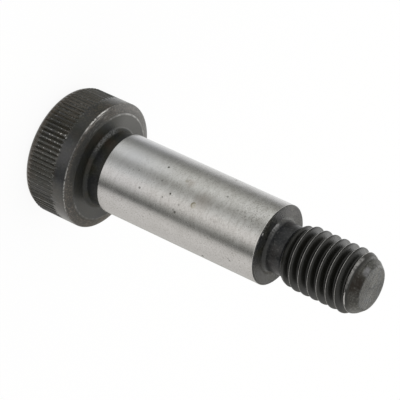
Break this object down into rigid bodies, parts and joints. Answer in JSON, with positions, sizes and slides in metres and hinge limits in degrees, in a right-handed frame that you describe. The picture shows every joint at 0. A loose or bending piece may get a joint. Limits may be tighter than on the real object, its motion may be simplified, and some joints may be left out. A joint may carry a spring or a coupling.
{
  "type": "shoulder bolt",
  "caption": "Socket-head shoulder bolt: knurled round head with a hex socket, a ground cylindrical shoulder that a part turns on, and a narrower threaded end.",
  "frame": {"origin": "centre of the seat, the flat ring under the head that bears on the work, on the bolt's axis", "axes": "+Z along the bolt's axis from the head to the threaded tip; the bolt stands on the flat socket end of its head, which faces -Z; two flats of the hex socket face +Y and -Y"},
  "size_m": [0.016, 0.016, 0.045],
  "materials": {
    "steel": "black oxide on the head, neck, relief and thread; the shoulder is ground bright after blacking"
  },
  "bodies": {
    "root": {"shoulder_bolt": "steel"}
  },
  "joints": []
}
